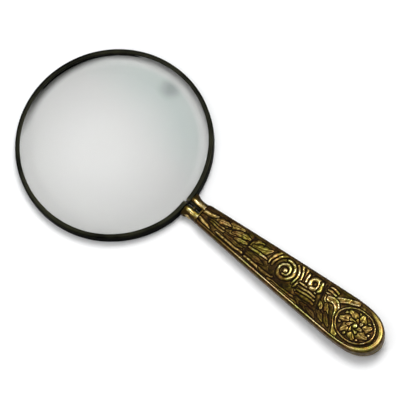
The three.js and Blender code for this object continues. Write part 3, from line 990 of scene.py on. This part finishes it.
def chase_neck(relief):
    """Two ribs spread from the neck round a sunk throat, with reeds running into a leaf tuft."""
    x = HANDLE_START
    for reed in range(4):
        y = 2.9 - 1.4 * reed
        path = curve(x, (3 + 0.9 * reed, 0.6 * y), (8, 0.8 * y), (15, y))
        relief.rib(path, 1.15, 0.66, (0.5, 1.0))
    relief.rib(curve(x, (-1, 1.5), (3, 1.9), (9, 3.2)), 2.1, 1.0, (1.1, 0.4))
    relief.rib(curve(x, (-1, -2.3), (3, -2.8), (8, -4.0)), 1.9, 1.0, (1.1, 0.4))
    relief.pit((x + 4.6, -0.4), 2.4, 0.75)


def chase_leaves(relief):
    """The acanthus tuft and the large leaf in front of the volute."""
    x = HANDLE_START
    tuft = [
        ((16.0, -1.7), (28.5, -2.0), 2.4, 0.62, -0.08),
        ((29.0, -2.2), (42.0, -2.6), 3.6, 0.56, -0.05),
        ((15.5, 0.4), (24.5, 1.0), 2.3, 0.85, 0.1),
        ((21.5, -0.6), (30.0, 0.8), 2.7, 0.95, 0.12),
        ((14.5, 3.0), (24.0, 5.6), 3.8, 0.9, 0.16),
        ((19.0, 1.6), (30.0, 3.4), 3.3, 1.0, 0.14),
        ((8.5, 1.9), (16.5, 3.1), 3.4, 1.0, 0.12),
        ((30.5, 0.4), (36.0, 6.0), 4.6, 0.85, 0.3),
        ((32.0, 2.2), (42.0, 5.8), 5.2, 1.0, -0.16),
    ]
    relief.leaves(x, tuft, lobes=3)
    relief.groove(curve(x, (30.4, 7.2), (28.8, 2.0), (30.2, -4.6)), 1.9, 0.8)
    relief.rib(curve(x, (30.5, 0.4), (36, 0.9), (42, 0.8)), 1.5, 0.95, (0.6, 0.5))
    relief.rib(curve(x, (12, -3.5), (21, -4.2), (29.5, -4.5)), 1.3, 1.0, (0.6, 0.8))
    relief.rib(curve(x, (31.5, -4.7), (39, -5.2), (47.5, -6.1)), 1.4, 0.95, (0.8, 0.6))


def chase_volute(relief, centre):
    """The volute with its eye, its tail, and the gadroons that fan out behind it."""
    for k in range(3):
        path = arc_path(centre, 7.3 + 2.1 * k, -26, 58 - 7 * k, steps=30)
        relief.rib(path, 1.8, 0.95 - 0.04 * k, (0.5, 0.7))
    for k in range(2):
        path = arc_path(centre, 7.5 + 2.0 * k, 112 + 10 * k, 192 - 4 * k, steps=30)
        relief.rib(path, 1.7, 0.85, (0.6, 0.6))
    relief.rib(arc_path(centre, 1.9, -90, 470, 5.6, steps=120), 1.8, 1.0, (0.9, 0.8))
    relief.disc(centre, 1.35, 1.0)
    x, y = centre
    # lowered on the eye's -Y side: flatter relief there, and painted shade through the wear
    eye_shade_side = smooth_step(-1.5, -4.0, relief.y - y + 0.35 * (relief.x - x))
    close = np.hypot(relief.x - x, relief.y - y) < 9
    relief.height = np.where(close, relief.height * (1 - 0.42 * eye_shade_side), relief.height)
    relief.rib(curve(x, (-3.5, y - 6.6), (-7.5, -6.4), (-12, -4.9)), 1.5, 0.7, (1.0, 0.4))
    for k in range(2):
        begin = (-5 + 3 * k, -6.7 - 1.1 * k)
        end = (13 + 2 * k, -7.0 - 1.5 * k)
        relief.rib(curve(x, begin, (4, -6.9 - 1.3 * k), end), 1.2, 0.62)


def chase_curl(relief, centre):
    """A block with a sunk eye, over ribs that run along the handle."""
    x = centre[0]
    for k in range(4):
        y = 1.5 - 1.75 * k
        begin = -6.8 + 0.5 * k
        end = 3.6 + 0.7 * k
        path = curve(x, (begin, y - 0.5), (mix(begin, end, 0.5), y + 0.2), (end, y - 0.2))
        relief.rib(path, 1.5, 0.9 - 0.09 * k, (0.4, 0.7))
    relief.rib(arc_path(centre, 2.7, -100, 215, 2.5, steps=50), 2.5, 1.0, (0.9, 1.0))
    relief.rib(curve(x, (-5.2, 7.2), (-4.6, 5), (-4.4, 3.4)), 1.7, 0.95)
    relief.rib(curve(x, (3, 7.6), (4.2, 5.6), (4.2, 3.2)), 2.0, 1.0)
    row = [((4 * k - 4, -6.2 - 0.5 * k), (4 * k + 3, -8.2 - 0.4 * k), 2.6, 0.62, 0.1) for k in range(3)]
    relief.leaves(x, row, lobes=2)
    relief.groove(curve(x, (5.6, 8.6), (5.6, 2), (8.6, -4.0)), 1.7, 0.75)


def chase_straps(relief):
    """Ribbons and two straps that cross in front of the medallion."""
    x = MEDALLION_X - 24.4
    for k in range(3):
        path = curve(x, (1.8, 8.6 - 1.9 * k), (4, 9.2 - 1.9 * k), (7.0, 8.2 - 1.8 * k))
        relief.rib(path, 1.6, 0.9, (0.6, 0.9))
    leaves = [
        ((2.2, 3.6), (5.2, 0.4), 3.0, 0.95, 0.2),
        ((2.2, -0.4), (4.6, -4.0), 2.8, 0.9, 0.15),
        ((5.4, 0.6), (9.8, -3.6), 3.2, 0.8, -0.2),
        ((3.6, -5.2), (9.6, -8.4), 3.0, 0.65, 0.12),
        ((8.0, -3.6), (13.6, -8.6), 3.0, 0.7, -0.1),
    ]
    relief.leaves(x, leaves, lobes=2)
    over = curve(x, (5.2, 3.6), (11.6, 5.6), (12.6, -1.6), (18.0, -9.4), steps=40)
    under = curve(x, (7.8, 4.6), (9.8, 5.8), (12.4, 8.2), (18.4, 9.9), steps=40)
    relief.strap(under, 2.7, 0.95)
    relief.strap(over, 3.0, 1.0)


def oval(x, y):
    """1 on the medallion's edge, 0 at its centre."""
    return np.hypot((x - MEDALLION_X) / MEDALLION_LENGTH, y / MEDALLION_WIDTH)


def on_oval(turn, half_length, half_across):
    """The point at an angle on an oval round the medallion's centre."""
    return MEDALLION_X + half_length * math.cos(turn), half_across * math.sin(turn)


def chase_medallion(relief):
    """An oval frame round a rosette of turned leaves with a button and berries."""
    q = oval(relief.x, relief.y)
    inside = q < 1.12
    relief.height[inside] *= smooth_step(1.05, 1.12, q[inside])
    medal = Relief(relief.x, relief.y)
    medal.height = 0.5 * np.clip(1 - (q / 0.95) ** 8, 0, 1)
    middle = (MEDALLION_X, 0)
    leaves = 7
    step = 2 * math.pi / leaves
    for k in range(leaves):
        medal.disc(on_oval((k + 0.95) * step, 8.6, 6.3), 1.0, 0.85)
    for k in range(leaves):
        turn = (k + 0.2) * step
        tip = on_oval(turn + 0.45, 9.6, 7.2)
        medal.leaf(on_oval(turn, 1.6, 1.3), tip, 5.4, 0.92, curl=-0.2, lobes=2)
    for k in range(leaves):
        tip = on_oval((k + 0.7) * step + 0.3, 4.8, 4.0)
        medal.leaf(middle, tip, 2.9, 1.0, curl=-0.12, lobes=1)
    medal.disc(middle, 1.3, 1.0)
    frame_bead = 0.8 * np.exp(-(((q - 1.0) / 0.05) ** 2))
    medal.height = np.maximum(medal.height * smooth_step(0.96, 0.9, q), frame_bead)
    on_it = q < 1.1
    relief.height[on_it] = np.maximum(relief.height, medal.height)[on_it]


def chase_handle(x, y, distance):
    """The whole relief, in heights from 0 to 1."""
    wander = 0.13  # millimetres by which the worn stamp's lines stray
    stray_x = wander * ripple(x, y, 6, seed=3)
    stray_y = wander * ripple(x, y, 6, seed=4)
    relief = Relief(x + stray_x, y + stray_y, GROUND)
    relief.matting(2.6, 0.5, seed=5)
    relief.matting(1.4, 0.42, seed=11)
    chase_neck(relief)
    chase_leaves(relief)
    chase_volute(relief, (HANDLE_START + 52.9, 1.6))
    chase_curl(relief, (HANDLE_START + 69.4, 5.0))
    chase_straps(relief)
    shade = mix(0.8, 1.0, smooth_step(-5, 0, y))  # lowered on the -Y side: flatter relief there, and painted shade through the wear
    relief.height *= shade.ravel()
    chase_medallion(relief)
    rubbed = 1 - 0.22 * np.clip(ripple(x, y, 3.2, seed=8), 0, 1)
    margin = mix(1.1, 1.8, smooth_step(1, -1, y))  # plain strip along the outline
    height = relief.height.reshape(x.shape) * rubbed
    height *= smooth_step(margin, margin + 0.6, distance)
    bead_lit_side = mix(0.3, 1.0, smooth_step(3, -3, y))  # the bead stands lower on the +Y side: painted shade there and a painted highlight on the -Y side, as the light falls
    begin = smooth_step(HANDLE_START + 14, HANDLE_START + 34, x)
    bead_level = mix(0.55, 1.0, begin) * bead_lit_side
    bead = bead_level * np.exp(-(((distance - 1.4) / 0.42) ** 2))
    past = smooth_step(MEDALLION_X - 2, MEDALLION_X + 6, x)
    crescent = 0.8 * past * smooth_step(1.1, 1.2, oval(x, y)) * smooth_step(0.2, 0.9, distance)
    wall = 0.3 * smooth_step(1.2, 0.4, distance)
    return np.maximum.reduce([height, bead, crescent, wall])


# ---------------- handle: shells


def shell_surface(rings):
    """Outer face of the front shell: arrays of x, y, z and the relief's height."""
    x, y, distance, spine_distance = plan_grid(rings)
    height = chase_handle(x, y, distance)
    field = smooth_step(0.9, 2.3, distance)
    boss = MEDALLION_RISE * (1 - smooth_step(0.95, 1.05, oval(x, y)))
    z = crown(x, distance, spine_distance) + boss + RELIEF_DEPTH * (height - 1) * field
    return x, y, z, height


def build_shell(name, node, turned_over):
    """One stamped shell: chased face, plain side wall down to the seam, and its inner face."""
    rings = 64
    tuck_in = 0.22  # of the wall, where it meets the seam
    wall_rub = 0.3  # how much the wall shows wear, as a height of the relief
    mouth_rub = -0.6  # the edge at the mouth is never rubbed
    x, y, z, height = shell_surface(rings)
    stations = len(x)
    wall_rings = 6
    inner_rings = 7
    columns = [(x[:, r], y[:, r], z[:, r]) for r in range(rings)][::-1]
    edge_x, edge_y = x[:, 0], y[:, 0]
    inward = np.stack([np.gradient(edge_y), -np.gradient(edge_x)])
    to_spine = np.stack([x[:, -1] - edge_x, y[:, -1] - edge_y])
    inward *= np.sign((inward * to_spine).sum()) / np.hypot(*inward)
    for k in range(1, wall_rings + 1):
        share = k / wall_rings
        wall_z = mix(z[:, 0], SEAM, share)
        tuck = tuck_in * share**6
        columns.append((edge_x + inward[0] * tuck, edge_y + inward[1] * tuck, wall_z))
    inner_x, inner_y, _, spine_distance = plan_grid(inner_rings)
    for k in range(inner_rings):
        share = k / (inner_rings - 1)
        start = np.minimum(SHELL_WALL / spine_distance[:, 0], 1)
        t = mix(start, 1.0, share)
        px = mix(inner_x[:, 0], inner_x[:, -1], t)
        py = inner_y[:, 0] * (1 - t)
        reach = spine_distance[:, 0] * t
        pz = crown(px, reach, spine_distance[:, 0]) - SHELL_WALL - RELIEF_DEPTH * 0.6
        if k == 0:
            columns.append((px, py, np.full_like(px, SEAM)))
        columns.append((px, py, pz))
    points = np.stack([np.stack(c, 1) for c in columns], 1).reshape(-1, 3)
    if turned_over:
        draft = BACK_DRAFT * np.minimum(points[:, 2], WALL_SHARE * half_thickness(points[:, 0]))
        to_end = smooth_step(ROUND_START, HANDLE_END, points[:, 0])
        points[:, 1] *= 1 - draft / np.maximum(half_width(points[:, 0]), NECK_HALF_WIDTH)
        points[:, 0] -= draft * to_end
        points = points * (1, -1, -1)
    count = len(columns)
    heights = np.zeros((stations, count))
    heights[:, :rings] = height[:, ::-1]
    heights[:, rings : rings + wall_rings] = wall_rub
    heights[[0, -1]] = mouth_rub
    faces = grid_faces(stations, count)
    mouth = list(range(count)) + [(stations - 1) * count + c for c in reversed(range(count))]
    faces.append(tuple(mouth))
    shell = make_piece(name, points, faces, HANDLE)
    store_layer(shell, "height", heights)
    face_out(shell)
    mark_wear(shell, reach=3, gain=5)
    finish_piece(shell, "glass", BRASS, node)


build_shell("handle_front_chased", "handle_front", turned_over=False)
build_shell("handle_back_chased", "handle_back", turned_over=True)

# ---------------- CAD nodes that stay

for node, material in (("lens_gasket", PACKING), ("tang", STEEL), ("handle_core", CEMENT)):
    dress(frame["nodes"][node], material)

# ---------------- stage, lamps and camera


def make_floor():
    side = 4.0
    corners = [(-side, -side, 0), (side, -side, 0), (side, side, 0), (-side, side, 0)]
    floor = make_piece("floor", corners, [(0, 1, 2, 3)], Matrix.Identity(4))
    white = Surface("floor_white")
    white.set(Base_Color=(0.93, 0.93, 0.93), Roughness=0.9, Specular_IOR_Level=0.1)
    dress(floor, white.material)


def make_lamp(name, place, size, power, lights="both"):
    """A soft disc over the scene's centre; it may light only matt or only shiny surfaces."""
    lamp = bpy.data.lights.new(name, "AREA")
    lamp.shape = "DISK"
    lamp.size = size
    lamp.energy = power
    holder = bpy.data.objects.new(name, lamp)
    holder.location = place
    toward = -Vector(place)
    holder.rotation_mode = "QUATERNION"
    holder.rotation_quaternion = toward.to_track_quat("-Z", "Y")
    holder.visible_glossy = lights != "matt"
    holder.visible_diffuse = lights != "shiny"
    holder.visible_transmission = False  # the lens already passes their light on as shadow rays
    scene.collection.objects.link(holder)


def make_world():
    """A grey sky to light the glass, pale to the camera, left out where it would count twice."""
    world = bpy.data.worlds.new("studio")
    scene.world = world
    world.use_nodes = True
    w = Graph(world.node_tree)
    up = w.node("SeparateXYZ", Vector=w.node("TexCoord").outputs["Generated"]).outputs["Z"]
    sky = w.nodes["Background"]
    w.feed(sky.inputs["Color"], w.ramp(up, [(0.0, (0.06, 0.062, 0.065)), (0.9, (0.46, 0.47, 0.48))]))
    pale = w.node("Background", Color=(0.95, 0.95, 0.95))
    path = w.node("LightPath").outputs
    either = w.choose(path["Is Camera Ray"], sky.outputs[0], pale.outputs[0])
    from_floor = w.math("MULTIPLY", path["Is Transmission Ray"], path["Diffuse Depth"])
    w.feed(w.nodes["World Output"].inputs["Surface"], w.choose(from_floor, either))


def make_camera():
    """A long lens, 20 degrees off the lens's axis, rolled so that the handle runs to lower right."""
    distance = 8000  # millimetres; the picture shows next to no perspective
    width = 199.5  # millimetres across the picture, at the aim
    camera = bpy.data.cameras.new("camera")
    camera.sensor_width = 36
    camera.lens = camera.sensor_width * distance / width
    camera.clip_start = 0.01
    camera.clip_end = 50
    holder = bpy.data.objects.new("camera", camera)
    scene.collection.objects.link(holder)
    off_axis = math.radians(19.9)
    toward = math.radians(-28.4)  # the side of the ring that is nearest, from the handle's axis
    side = Vector((math.cos(toward), math.sin(toward), 0))
    foot_angle = math.radians(68.3)  # of the camera's side of the ring, clockwise in the picture
    up = Vector((0, 0, 1))
    back = side * math.sin(off_axis) + up * math.cos(off_axis)
    tipped = side * math.cos(off_axis) - up * math.sin(off_axis)
    flat = back.cross(tipped)
    right = tipped * math.cos(foot_angle) + flat * math.sin(foot_angle)
    above = back.cross(right)
    aim = Vector((52.5, 5.1, 0))
    turn = GLASS.to_3x3().normalized() @ Matrix((right, above, back)).transposed()
    holder.matrix_world = Matrix.Translation(GLASS @ (aim + back * distance)) @ turn.to_4x4()
    scene.camera = holder


make_floor()
make_world()
make_lamp("key_lamp", (-0.2, 0.62, 1.9), 1.0, 21, lights="matt")
make_lamp("fill_lamp", (0.0, 0.1, 2.1), 2.4, 19, lights="matt")
make_lamp("shine_lamp", (0.4, 0.85, 1.75), 0.85, 25, lights="shiny")
make_lamp("low_lamp", (-0.6, -1.3, 1.1), 0.35, 3.4)
for ring in range(8):  # stacked, so that the light fades outwards
    size = 0.3 + 0.14 * ring
    place = (-0.8, 0.23, 2.0 + 0.001 * ring)
    make_lamp(f"top_lamp_{ring}", place, size, 1.4 * size**2, lights="shiny")
make_camera()
scene.view_settings.view_transform = "Standard"
